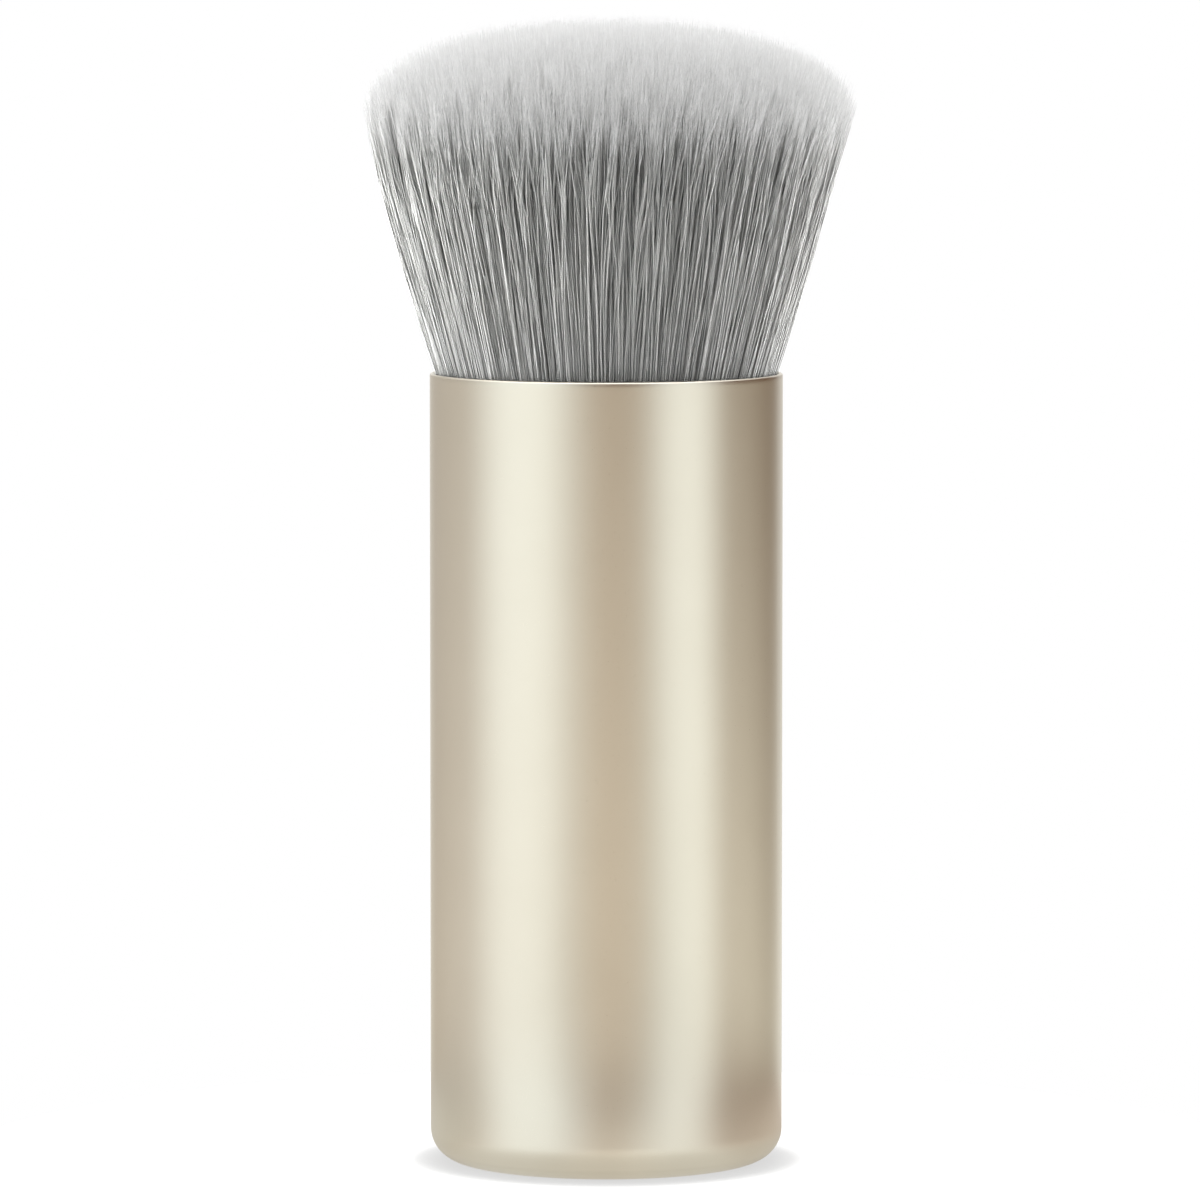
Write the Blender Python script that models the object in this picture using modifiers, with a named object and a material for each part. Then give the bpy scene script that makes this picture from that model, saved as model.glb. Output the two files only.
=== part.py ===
"""A buffing brush: a dense domed head of synthetic filament set in a drawn metal handle.

Lengths are in metres and +Z is up. The brush stands on z = 0, with its axis on Z.
From the base up, the handle shell holds a foam pad, a counterweight in the pocket of a moulded
core, and the ferrule cup, in which the bound and cast filament ends carry the bristles.
"""

import math
import random

import bmesh
import bpy
from mathutils import Matrix, Vector

MM = 0.001

# Clearance between two pieces that are seated on each other
SEAT_GAP = 0.3 * MM

# Handle shell, drawn from one metal blank with a closed base
SHELL_RADIUS = 16.5 * MM
SHELL_HEIGHT = 74.0 * MM
SHELL_WALL = 0.5 * MM
SHELL_FLOOR = 0.8 * MM
BASE_CORNER_RADIUS = 3.0 * MM
MOUTH_EDGE_RADIUS = 0.2 * MM
MOUTH_EDGE_MOST_SHARE = 0.45  # of the wall, so that the two edge rounds never meet

# Pad and counterweight in the bottom of the core
PAD_THICKNESS = 1.5 * MM
WEIGHT_HEIGHT = 16.0 * MM
WEIGHT_CHAMFER = 0.8 * MM
CENTRE_DRILL_RADIUS = 1.6 * MM
CENTRE_DRILL_DEPTH = 2.2 * MM

# Moulded core that fills the shell and carries the ferrule cup
CORE_WEB = 2.0 * MM
CORE_WALL = 1.6 * MM
POCKET_WALL = 1.2 * MM  # least wall between the pocket and the core's lower groove or corner
CORE_BOSS_RADIUS = 3.0 * MM
SPIGOT_RISE = 2.4 * MM
SPIGOT_CHAMFER = 0.5 * MM
FLANGE_HEIGHT = 5.0 * MM
FIN_COUNT = 8
FIN_HEIGHT = 0.9 * MM
FIN_THICKNESS = 1.4 * MM
RIB_COUNT = 8
RIB_THICKNESS = 1.2 * MM
RIB_DROP = 4.0 * MM

# Glue beads in the flange grooves and in the cup's crimp
GLUE_BEAD_RADIUS = 0.55 * MM
CUP_BEAD_RADIUS = 0.35 * MM

# Ferrule cup, which holds the root block
CUP_WALL = 0.5 * MM
CUP_FLOOR = 0.6 * MM
CUP_CORNER_RADIUS = 1.4 * MM
CUP_BELOW_CRIMP = 3.2 * MM
CRIMP_HALF_WIDTH = 1.5 * MM
CRIMP_TO_BINDING = 1.9 * MM

# Root block of potted filament ends, with the ring that binds them
BINDING_THICKNESS = 0.9 * MM
BINDING_HEIGHT = 1.6 * MM
BINDING_DROP = 1.0 * MM
BINDING_EDGE = 0.3 * MM

# Head of filament: side, rim and dome
HEAD_RADIUS = 23.0 * MM
RIM_RISE = 24.1 * MM
DOME_RISE = 8.5 * MM
ROOT_DEPTH = 3.0 * MM
BACKING_THICKNESS = 1.5 * MM
STRAND_SINK = 0.4 * MM
ROOT_HALF_GAP = 0.14 * MM
SHOULDER_HALF_GAP = 0.11 * MM
TIP_LENGTH = 2.0 * MM
TIP_SCATTER = 0.3 * MM
SIDE_SCATTER = 0.2 * MM
SHOULDER_GAP_MOST_SHARE = 2.0  # widest gap beside a shoulder, as a share of the least
CROWD_SHARE = 0.16  # of a strand's pitch, by which neighbours crowd each other
RING_STRANDS = (1, 6, 12, 18, 24, 30, 36, 42, 48, 54, 66, 78)  # from the axis outwards
BUNDLE_RINGS = {"inner_bristles": (0, 6), "middle_bristles": (6, 10), "outer_bristles": (10, 12)}
SCATTER_SEED = 11

# Facets
SHELL_STEPS = 72
INNER_STEPS = 36
BACKING_STEPS = 36
BEAD_SIDES = 6
CORNER_POINTS = 5
EDGE_POINTS = 3
CRIMP_POINTS = 7
SMOOTH_UNDER = math.radians(40)
OVERRUN = 0.4 * MM  # how far joined shapes reach into each other
AXIS_MERGE = 0.001 * MM

# Sizes that follow from those above
shell_bore = SHELL_RADIUS - SHELL_WALL
core_radius = shell_bore - SEAT_GAP
shell_inner_corner = BASE_CORNER_RADIUS - SHELL_WALL
core_bottom = SHELL_FLOOR + SEAT_GAP
pad_top = core_bottom + PAD_THICKNESS
weight_bottom = pad_top + SEAT_GAP
weight_top = weight_bottom + WEIGHT_HEIGHT
web_bottom = weight_top + SEAT_GAP
web_top = web_bottom + CORE_WEB
root_plane = SHELL_HEIGHT - ROOT_DEPTH
backing_bottom = root_plane - BACKING_THICKNESS
cup_top = backing_bottom - SEAT_GAP
binding_top = cup_top - BINDING_DROP
binding_bottom = binding_top - BINDING_HEIGHT
crimp_middle = binding_bottom - CRIMP_TO_BINDING - CRIMP_HALF_WIDTH
cup_bottom = crimp_middle - CRIMP_HALF_WIDTH - CUP_BELOW_CRIMP
core_top = cup_bottom - SEAT_GAP
fin_root = core_radius - FIN_HEIGHT
chamber_radius = fin_root - CORE_WALL
lower_flange_bottom = SHELL_FLOOR + shell_inner_corner
lower_flange_top = lower_flange_bottom + FLANGE_HEIGHT
upper_flange_bottom = core_top - FLANGE_HEIGHT
spigot_top = core_top + SPIGOT_RISE
bead_ring_radius = core_radius - GLUE_BEAD_RADIUS
groove_floor = bead_ring_radius - GLUE_BEAD_RADIUS - SEAT_GAP
groove_half = GLUE_BEAD_RADIUS + SEAT_GAP
pocket_radius = min(groove_floor, shell_bore - shell_inner_corner) - POCKET_WALL
weight_radius = pocket_radius - SEAT_GAP
lower_groove = (lower_flange_bottom + lower_flange_top) / 2
upper_groove = (upper_flange_bottom + core_top) / 2
cup_bore = core_radius - CUP_WALL
cup_hole = CORE_BOSS_RADIUS + SEAT_GAP
crimp_depth = 2 * CUP_BEAD_RADIUS + SEAT_GAP
block_radius = cup_bore - SEAT_GAP
block_bottom = cup_bottom + CUP_FLOOR + SEAT_GAP
block_corner = CUP_CORNER_RADIUS - CUP_WALL
head_at_mouth = shell_bore - SEAT_GAP
rim_height = SHELL_HEIGHT + RIM_RISE
flare = (HEAD_RADIUS - head_at_mouth) / RIM_RISE
ring_pitch = 1 / (len(RING_STRANDS) - 0.5)  # as a share of the head's radius


def clear_scene():
    for old in list(bpy.data.objects):
        bpy.data.objects.remove(old, do_unlink=True)


def new_collection(name):
    made = bpy.data.collections.new(name)
    bpy.context.scene.collection.children.link(made)
    return made


def new_material(name, colour, roughness, metallic=0.0):
    made = bpy.data.materials.new(name)
    made.use_nodes = True
    shader = made.node_tree.nodes["Principled BSDF"]
    shader.inputs["Base Color"].default_value = (*colour, 1.0)
    shader.inputs["Roughness"].default_value = roughness
    shader.inputs["Metallic"].default_value = metallic
    made.diffuse_color = (*colour, 1.0)
    return made


def new_object(name, mesh, collection, material=None):
    made = bpy.data.objects.new(name, mesh)
    collection.objects.link(made)
    if material:
        mesh.materials.append(material)
    return made


def new_helper(name, mesh):
    """An object that a Boolean reads and that isn't part of the brush."""
    made = new_object(name, mesh, helpers)
    made.hide_render = True
    made.display_type = "WIRE"
    return made


def arc(centre, radius, start, end, points):
    """Points on an arc in the (radius, height) plane. Angles are in degrees from outwards, up being 90."""
    made = []
    for step in range(points):
        angle = math.radians(start + (end - start) * step / (points - 1))
        made.append((centre[0] + radius * math.cos(angle), centre[1] + radius * math.sin(angle)))
    return made


def outline_mesh(name, outline, closed):
    mesh = bpy.data.meshes.new(name)
    edges = [(i, i + 1) for i in range(len(outline) - 1)]
    if closed:
        edges.append((len(outline) - 1, 0))
    mesh.from_pydata([(r, 0.0, z) for r, z in outline], edges, [])
    return mesh


def settle(piece):
    """Keeps the shape that the modifiers give, and shades round stretches smooth."""
    bpy.context.view_layer.update()
    evaluated = piece.evaluated_get(bpy.context.evaluated_depsgraph_get())
    shaped = bpy.data.meshes.new_from_object(evaluated)
    piece.modifiers.clear()
    piece.data = shaped
    shaped.name = piece.name
    shaped.shade_smooth()
    shaped.set_sharp_from_angle(angle=SMOOTH_UNDER)


def add_turned(name, outline, material, steps, closed=False):
    """The outline, listed down its outer side, turned about Z. An open one begins and ends on the axis."""
    made = new_object(name, outline_mesh(name, outline, closed), brush, material)
    screw = made.modifiers.new("turn", "SCREW")
    screw.axis = "Z"
    screw.angle = math.tau
    screw.steps = steps
    screw.render_steps = steps
    screw.use_merge_vertices = True
    screw.merge_threshold = AXIS_MERGE
    settle(made)
    return made


def join(piece, helper):
    union = piece.modifiers.new("join " + helper.name, "BOOLEAN")
    union.operation = "UNION"
    union.object = helper


def bar_helper(name, count, inside, outside, thickness, bottom, top):
    """Upright bars round the axis, from one radius to another."""
    form = bmesh.new()
    size = Vector((outside - inside, thickness, top - bottom))
    middle = Vector(((inside + outside) / 2, 0, (bottom + top) / 2))
    for index in range(count):
        turn = Matrix.Rotation(math.tau * index / count, 4, "Z")
        place = turn @ Matrix.Translation(middle) @ Matrix.Diagonal((*size, 1))
        bmesh.ops.create_cube(form, size=1, matrix=place)
    mesh = bpy.data.meshes.new(name)
    form.to_mesh(mesh)
    form.free()
    return new_helper(name, mesh)


def add_handle_shell(material):
    edge = min(MOUTH_EDGE_RADIUS, MOUTH_EDGE_MOST_SHARE * SHELL_WALL)
    inner_middle = (shell_bore - shell_inner_corner, SHELL_FLOOR + shell_inner_corner)
    outer_middle = (SHELL_RADIUS - BASE_CORNER_RADIUS, BASE_CORNER_RADIUS)
    outline = [(0.0, SHELL_FLOOR)]
    outline += arc(inner_middle, shell_inner_corner, -90, 0, CORNER_POINTS)
    outline += arc((shell_bore + edge, SHELL_HEIGHT - edge), edge, 180, 90, EDGE_POINTS)
    outline += arc((SHELL_RADIUS - edge, SHELL_HEIGHT - edge), edge, 90, 0, EDGE_POINTS)
    outline += arc(outer_middle, BASE_CORNER_RADIUS, 0, -90, CORNER_POINTS + 2)
    outline += [(0.0, 0.0)]
    add_turned("handle_shell", outline, material, SHELL_STEPS)


def groove(middle):
    """The core's outline through one glue groove, going down."""
    return [
        (core_radius, middle + groove_half),
        (groove_floor, middle + groove_half),
        (groove_floor, middle - groove_half),
        (core_radius, middle - groove_half),
    ]


def add_core_body(material):
    """A tube with a web over the weight pocket, a boss up its middle, ribs inside and fins outside."""
    corner_middle = (shell_bore - shell_inner_corner, SHELL_FLOOR + shell_inner_corner)
    outline = [(0.0, spigot_top), (CORE_BOSS_RADIUS - SPIGOT_CHAMFER, spigot_top)]
    outline += [(CORE_BOSS_RADIUS, spigot_top - SPIGOT_CHAMFER), (CORE_BOSS_RADIUS, web_top)]
    outline += [(chamber_radius, web_top), (chamber_radius, core_top), (core_radius, core_top)]
    outline += groove(upper_groove)
    outline += [(core_radius, upper_flange_bottom), (fin_root, upper_flange_bottom)]
    outline += [(fin_root, lower_flange_top), (core_radius, lower_flange_top)]
    outline += groove(lower_groove)
    outline += arc(corner_middle, shell_inner_corner - SEAT_GAP, 0, -90, CORNER_POINTS)
    outline += [(pocket_radius, core_bottom), (pocket_radius, web_bottom), (0.0, web_bottom)]
    core = add_turned("core_body", outline, material, INNER_STEPS)
    fin_bottom = lower_flange_top - OVERRUN
    fin_top = upper_flange_bottom + OVERRUN
    fins = bar_helper(
        "fin_bars", FIN_COUNT, fin_root - OVERRUN, core_radius, FIN_THICKNESS, fin_bottom, fin_top
    )
    rib_bottom = web_top - OVERRUN
    rib_top = core_top - RIB_DROP
    rib_start = CORE_BOSS_RADIUS - OVERRUN
    ribs = bar_helper(
        "rib_bars", RIB_COUNT, rib_start, chamber_radius + OVERRUN, RIB_THICKNESS, rib_bottom, rib_top
    )
    join(core, fins)
    join(core, ribs)
    settle(core)


def add_base_pad(material):
    outline = [(0.0, pad_top), (weight_radius, pad_top), (weight_radius, core_bottom), (0.0, core_bottom)]
    add_turned("base_pad", outline, material, INNER_STEPS)


def add_counterweight(material):
    """A turned slug, chamfered at both ends, with the lathe's centre hole in its top."""
    chamfered = weight_radius - WEIGHT_CHAMFER
    outline = [(0.0, weight_top - CENTRE_DRILL_DEPTH), (CENTRE_DRILL_RADIUS, weight_top)]
    outline += [(chamfered, weight_top), (weight_radius, weight_top - WEIGHT_CHAMFER)]
    outline += [(weight_radius, weight_bottom + WEIGHT_CHAMFER), (chamfered, weight_bottom)]
    outline += [(0.0, weight_bottom)]
    add_turned("counterweight", outline, material, INNER_STEPS)


def add_bead(name, ring_radius, bead_radius, height, material):
    """A bead of glue that runs round the axis."""
    bpy.ops.mesh.primitive_torus_add(
        major_radius=ring_radius,
        minor_radius=bead_radius,
        major_segments=INNER_STEPS,
        minor_segments=BEAD_SIDES,
        location=(0, 0, height),
    )
    made = bpy.context.object
    made.name = name
    made.data.name = name
    for holder in list(made.users_collection):
        holder.objects.unlink(made)
    brush.objects.link(made)
    made.data.materials.append(material)
    made.data.shade_smooth()


def crimp(radius, half_width, upwards):
    """An outline's points through the crimp, which swells inwards and back by a cosine."""
    made = []
    for step in range(CRIMP_POINTS):
        share = 2 * step / (CRIMP_POINTS - 1) - 1
        if not upwards:
            share = -share
        swell = crimp_depth * (1 + math.cos(math.pi * share)) / 2
        made.append((radius - swell, crimp_middle + half_width * share))
    return made


def add_ferrule_cup(material):
    """A drawn cup with a located hole in its floor and a crimp that keys the root block."""
    inner_corner = CUP_CORNER_RADIUS - CUP_WALL
    floor_top = cup_bottom + CUP_FLOOR
    outline = [(cup_hole, floor_top)]
    outline += arc((cup_bore - inner_corner, floor_top + inner_corner), inner_corner, -90, 0, EDGE_POINTS)
    outline += crimp(cup_bore, CRIMP_HALF_WIDTH - CUP_WALL / 2, upwards=True)
    outline += [(cup_bore, cup_top), (core_radius, cup_top)]
    outline += crimp(core_radius, CRIMP_HALF_WIDTH, upwards=False)
    corner_middle = (core_radius - CUP_CORNER_RADIUS, cup_bottom + CUP_CORNER_RADIUS)
    outline += arc(corner_middle, CUP_CORNER_RADIUS, 0, -90, EDGE_POINTS)
    outline += [(cup_hole, cup_bottom)]
    add_turned("ferrule_cup", outline, material, INNER_STEPS, closed=True)


def add_root_block(material):
    """Cast resin and filament ends: it fills the cup, round the binding ring, the crimp and the spigot."""
    seat = block_radius - BINDING_THICKNESS - SEAT_GAP
    recess_radius = CORE_BOSS_RADIUS + SEAT_GAP
    recess_top = spigot_top + SEAT_GAP
    outline = [(0.0, cup_top), (block_radius, cup_top), (block_radius, binding_top + SEAT_GAP)]
    outline += [(seat, binding_top + SEAT_GAP), (seat, binding_bottom - SEAT_GAP)]
    outline += [(block_radius, binding_bottom - SEAT_GAP)]
    outline += crimp(block_radius, CRIMP_HALF_WIDTH, upwards=False)
    corner_middle = (block_radius - block_corner, block_bottom + block_corner)
    outline += arc(corner_middle, block_corner, 0, -90, EDGE_POINTS)
    outline += [(recess_radius, block_bottom), (recess_radius, recess_top), (0.0, recess_top)]
    add_turned("root_block", outline, material, INNER_STEPS)


def add_binding_ring(material):
    inside = block_radius - BINDING_THICKNESS
    edged = block_radius - BINDING_EDGE
    outline = [(inside, binding_top), (edged, binding_top), (block_radius, binding_top - BINDING_EDGE)]
    outline += [(block_radius, binding_bottom + BINDING_EDGE), (edged, binding_bottom)]
    outline += [(inside, binding_bottom)]
    add_turned("binding_ring", outline, material, INNER_STEPS, closed=True)


def head_radius_at(height):
    """Radius of the head's straight flared side."""
    return head_at_mouth + flare * (height - SHELL_HEIGHT)


def dome_height(share):
    """Height at which the ray at this share of the head's radius meets the elliptic dome."""
    lean = flare / HEAD_RADIUS
    square = (share * lean) ** 2 + 1 / DOME_RISE**2
    linear = 2 * share**2 * lean
    rise = (-linear + math.sqrt(linear**2 + 4 * square * (1 - share**2))) / (2 * square)
    return rim_height + rise


def ring_shares(ring):
    """Inner and outer edge of a ring of strands, as shares of the head's radius."""
    return max(ring - 0.5, 0) * ring_pitch, (ring + 0.5) * ring_pitch


def crowded_turns(count, scatter):
    """Directions between neighbouring strands in a ring, unevenly spread, in radians."""
    pitch = math.tau / count
    return [pitch * (i + scatter.uniform(-CROWD_SHARE, CROWD_SHARE)) for i in range(count)]


def cell_corners(height, edges, turns, trims):
    """A strand's section at a height: its ring's edges and its two sides, each drawn in by its trim."""
    inside = edges[0] * head_radius_at(height) + trims["inside"]
    outside = edges[1] * head_radius_at(height) - trims["outside"]
    corners = []
    for radius, turn, side in (
        (inside, turns[0], 1),
        (outside, turns[0], 1),
        (outside, turns[1], -1),
        (inside, turns[1], -1),
    ):
        angle = turn + side * math.asin(min(trims["side"] / radius, 1))
        corners.append(Vector((radius * math.cos(angle), radius * math.sin(angle), height)))
    return corners


def add_strand(form, foot, shoulder, tip):
    """One strand: a block from its foot to its shoulder, whose top face is poked up to the tip."""
    block = bmesh.ops.create_cube(form, size=1)["verts"]
    block.sort(key=lambda vertex: math.atan2(vertex.co.y, vertex.co.x))
    lower = [vertex for vertex in block if vertex.co.z < 0]
    upper = [vertex for vertex in block if vertex.co.z > 0]
    top_face = set.intersection(*(set(vertex.link_faces) for vertex in upper)).pop()
    for vertex, corner in zip(lower + upper, foot + shoulder):
        vertex.co = corner
    poked = bmesh.ops.poke(form, faces=[top_face])["verts"]
    poked[0].co = tip


def add_ring_strands(form, ring, is_first, is_last, scatter):
    """All the strands of one ring. A bundle's first and last ring leave room for the gap to the next one."""
    count = RING_STRANDS[ring]
    edges = ring_shares(ring)
    foot_height = root_plane - STRAND_SINK
    tip_height = dome_height(ring * ring_pitch)
    shoulder_height = tip_height - TIP_LENGTH
    foot_turns = crowded_turns(count, scatter)
    shoulder_turns = crowded_turns(count, scatter)
    at_rim = ring == len(RING_STRANDS) - 1
    for index in range(count):
        following = (index + 1) % count
        whole = math.tau if following == 0 else 0.0
        foot_trims = {
            "inside": ROOT_HALF_GAP + (SEAT_GAP if is_first else 0),
            "outside": 0 if at_rim else ROOT_HALF_GAP + (SEAT_GAP if is_last else 0),
            "side": ROOT_HALF_GAP,
        }
        shoulder_trims = {
            "inside": SHOULDER_HALF_GAP,
            "outside": scatter.uniform(0, SIDE_SCATTER) if at_rim else SHOULDER_HALF_GAP,
            "side": SHOULDER_HALF_GAP * scatter.uniform(1, SHOULDER_GAP_MOST_SHARE),
        }
        turns = (foot_turns[index], foot_turns[following] + whole)
        foot = cell_corners(foot_height, edges, turns, foot_trims)
        turns = (shoulder_turns[index], shoulder_turns[following] + whole)
        shoulder = cell_corners(shoulder_height, edges, turns, shoulder_trims)
        tip_turn = (turns[0] + turns[1]) / 2
        high = tip_height + scatter.uniform(-TIP_SCATTER, TIP_SCATTER)
        reach = ring * ring_pitch * head_radius_at(high)
        tip = Vector((reach * math.cos(tip_turn), reach * math.sin(tip_turn), high))
        add_strand(form, foot, shoulder, tip)


def add_centre_strand(form):
    """The one strand on the axis, square in section."""
    foot_height = root_plane - STRAND_SINK
    tip_height = dome_height(0)
    shoulder_height = tip_height - TIP_LENGTH
    half = ring_shares(0)[1]
    sections = []
    for height, gap in ((foot_height, ROOT_HALF_GAP), (shoulder_height, SHOULDER_HALF_GAP)):
        radius = half * head_radius_at(height) - gap
        turns = [math.tau * (i + 0.5) / 4 for i in range(4)]
        sections.append([Vector((radius * math.cos(t), radius * math.sin(t), height)) for t in turns])
    add_strand(form, sections[0], sections[1], Vector((0, 0, tip_height)))


def backing_outline(first, after):
    """The slice of cast resin that carries the rings from first up to after, as (outline, closed)."""
    middle_height = (root_plane + root_plane - STRAND_SINK) / 2
    spread = head_radius_at(middle_height)
    inside = ring_shares(first)[0] * spread + SEAT_GAP / 2
    outside = ring_shares(after - 1)[1] * spread - SEAT_GAP / 2
    if after == len(RING_STRANDS):
        outside = core_radius
    outer_side = [(outside, root_plane), (outside, backing_bottom)]
    if first == 0:
        return [(0.0, root_plane), *outer_side, (0.0, backing_bottom)], False
    return [(inside, root_plane), *outer_side, (inside, backing_bottom)], True


def add_bristles(name, first, after, material, scatter):
    """A bundle of strands, fused to its slice of the backing."""
    form = bmesh.new()
    for ring in range(first, after):
        if ring == 0:
            add_centre_strand(form)
        else:
            add_ring_strands(form, ring, ring == first, ring == after - 1, scatter)
    bmesh.ops.recalc_face_normals(form, faces=form.faces)
    mesh = bpy.data.meshes.new(name + "_strands")
    form.to_mesh(mesh)
    form.free()
    strands = new_helper(name + "_strands", mesh)
    outline, closed = backing_outline(first, after)
    bundle = add_turned(name, outline, material, BACKING_STEPS, closed)
    join(bundle, strands)
    settle(bundle)


clear_scene()
brush = new_collection("buffing_brush")
helpers = new_collection("helpers")
champagne_metal = new_material("champagne_metal", (0.74, 0.68, 0.58), 0.34, 1.0)
core_plastic = new_material("core_plastic", (0.80, 0.79, 0.76), 0.5)
pad_foam = new_material("pad_foam", (0.10, 0.10, 0.11), 0.9)
weight_steel = new_material("weight_steel", (0.52, 0.53, 0.55), 0.4, 1.0)
set_glue = new_material("set_glue", (0.85, 0.80, 0.62), 0.3)
cup_metal = new_material("cup_metal", (0.78, 0.78, 0.79), 0.3, 1.0)
root_resin = new_material("root_resin", (0.30, 0.31, 0.31), 0.35)
binding_cord = new_material("binding_cord", (0.86, 0.84, 0.78), 0.7)
filament = new_material("filament", (0.66, 0.67, 0.66), 0.55)

add_handle_shell(champagne_metal)
add_core_body(core_plastic)
add_base_pad(pad_foam)
add_counterweight(weight_steel)
add_bead("lower_glue_bead", bead_ring_radius, GLUE_BEAD_RADIUS, lower_groove, set_glue)
add_bead("upper_glue_bead", bead_ring_radius, GLUE_BEAD_RADIUS, upper_groove, set_glue)
add_ferrule_cup(cup_metal)
add_bead("cup_glue_bead", core_radius - CUP_BEAD_RADIUS, CUP_BEAD_RADIUS, crimp_middle, set_glue)
add_root_block(root_resin)
add_binding_ring(binding_cord)
strand_scatter = random.Random(SCATTER_SEED)
for bundle_name, (first_ring, ring_after) in BUNDLE_RINGS.items():
    add_bristles(bundle_name, first_ring, ring_after, filament, strand_scatter)
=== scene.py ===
"""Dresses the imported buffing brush: satin champagne handle, dense head of tapered filament."""

import math

import bmesh
import bpy
import numpy as np
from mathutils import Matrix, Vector


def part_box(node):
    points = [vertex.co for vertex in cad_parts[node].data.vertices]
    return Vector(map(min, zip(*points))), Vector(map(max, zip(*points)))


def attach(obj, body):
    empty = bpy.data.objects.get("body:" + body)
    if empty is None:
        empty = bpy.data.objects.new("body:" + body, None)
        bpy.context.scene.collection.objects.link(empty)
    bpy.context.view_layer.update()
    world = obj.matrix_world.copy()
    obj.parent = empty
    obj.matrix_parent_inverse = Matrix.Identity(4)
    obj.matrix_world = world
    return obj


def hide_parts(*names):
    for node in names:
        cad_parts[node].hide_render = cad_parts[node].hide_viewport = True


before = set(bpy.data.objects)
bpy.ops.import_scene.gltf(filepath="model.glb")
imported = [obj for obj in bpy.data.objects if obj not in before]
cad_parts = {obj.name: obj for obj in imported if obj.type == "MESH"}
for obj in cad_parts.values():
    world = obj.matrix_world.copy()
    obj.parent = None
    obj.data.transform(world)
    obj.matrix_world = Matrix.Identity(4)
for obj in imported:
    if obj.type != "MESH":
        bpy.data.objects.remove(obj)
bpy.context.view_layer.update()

MM = 0.001

# The photograph's camera
CAMERA_DISTANCE = 785 * MM
CAMERA_HEIGHT = 115.8 * MM
AIM_HEIGHT = 52.69 * MM
AXIS_OFFSET = -0.586 * MM  # the brush stands a little right of the picture's middle
PICTURE_WIDTH_AT_BRUSH = 112.39 * MM
SENSOR_WIDTH = 36.0
NEAREST_SEEN = 0.01
FARTHEST_SEEN = 20.0

# Handle
WALL = 0.5 * MM
BASE_CORNER_RADIUS = 3.0 * MM
FLOOR_THICKNESS = 0.8 * MM
LIP_RADIUS = 0.24 * MM
HANDLE_STEPS = 256
CORNER_POINTS = 13
LIP_POINTS = 7
HOLD = 0.35 * MM  # a point beside each round stretch, which keeps the long faces' shading flat
ONE_POINT = 1e-6  # points closer than this become one

# Head
ROOT_HEIGHT = 69.7 * MM
MOUTH_CLEARANCE = 0.14 * MM
HEAD_RADIUS = 22.7 * MM
RIM_HEIGHT = 98.4 * MM
DOME_RISE = 8.85 * MM
DOME_FULLNESS = 2.2  # 2 is an ellipse's middle, and more is flatter
SHOULDER_FULLNESS = 0.54  # 0.5 is an ellipse's edge, and more slopes off sooner
FLARE = 0.2985  # how fast the head widens where it leaves the handle
SIDE_ROUNDING = 3  # the power by which its side rounds off, and more is closer to the rim
LEAN = 0.32 * MM  # the tips' drift to the right
LEAN_FROM = 92 * MM
LEAN_TO = 100 * MM
FRONT_DIP = 0.6 * MM  # the tips sit lower towards the camera, and higher at the back
STRAND_COUNT = 66000
STRAND_RADIUS = 0.055 * MM
THICKNESS_SPREAD = (0.75, 1.25)  # times the strand's radius
STRAND_SIDES = 3
STRAND_SEED = 3
GOLDEN_SHARE = 3 - math.sqrt(5)  # of a half turn from strand to strand, which spaces them evenly
TURN_JITTER = 0.35  # how far strands scatter round the head from their even turns
PLACE_SPREAD = (0.1, 0.9)  # where a strand stands in its own share of the head, from the middle out
PLUMB_NUDGE = 1e-6  # gives a plumb strand's sides a direction
TAPER = 7 * MM
TIP_JITTER = 0.2 * MM
SHORT_SHARE = 0.2  # of the strands
SHORT_MOST = 3.5 * MM
STRAY_SHARE = 0.14
STRAY_LEAN = 1.1 * MM
STRAY_MOST = 1.8 * MM
STRAY_CROSSING = 0.65  # how far up a stray strand crosses where it belongs
OWN_BOW = 0.08 * MM
LOOSE_EDGE = 0.25 * MM  # how far a strand may stand off the head's side
OWN_LEAN = 0.2 * MM
OWN_WAVE = 0.025 * MM
OWN_WAVE_LENGTH = 10 * MM
OWN_WAVE_SPREAD = (0.7, 1.5)  # times that length
TIP_GATHER = 2.4  # how much more the locks draw together at their tips
GATHER_LENGTH = 12 * MM
LOOSE_FROM = 16 * MM  # above the root, where the strands are free of the binding

# Locks that the strands gather in: their width round the head, depth into it and length, and how
# far they move the strands sideways and outwards
LOCKS = [
    (2.4 * MM, 5 * MM, 60 * MM, 0.08 * MM, 0.05 * MM),
    (1.0 * MM, 1.5 * MM, 28 * MM, 0.10 * MM, 0.07 * MM),
    (0.5 * MM, 0.6 * MM, 18 * MM, 0.07 * MM, 0.04 * MM),
]
WAVES_A_LOCK = 9
WAVE_SPREAD = (0.6, 1.6)  # times the lock's width, depth and length
LOCK_SEED = 5
COLOUR_REACH = 37.5 * MM  # the length that the filament's colour map covers, back from the tip
COLOUR_COLUMNS = 64  # of the map, in each of which the strands have one tone
CORNER_SPOTS = (0.1, 0.5, 0.9)  # where in its column each corner of a strand's ring reads the map
TIP_SPOT = 0.5  # and where its tip reads it
TIP_VARIES = 0.06  # how much sooner some strands turn pale, as a share of the map
COLUMN_STEP = 0.618  # scatters that over the columns

# Binding cord
CORD_PITCH = 0.45 * MM
CORD_FIBRES = 260  # crossings of the twisted fibres in a turn
FIBRE_RELIEF = 0.1  # as a share of the cord's own

# Rubbed edges: how alike the softened and the true surface face on even faces and on tight edges
EVEN_FACE = 0.995
TIGHT_EDGE = 0.90

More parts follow.
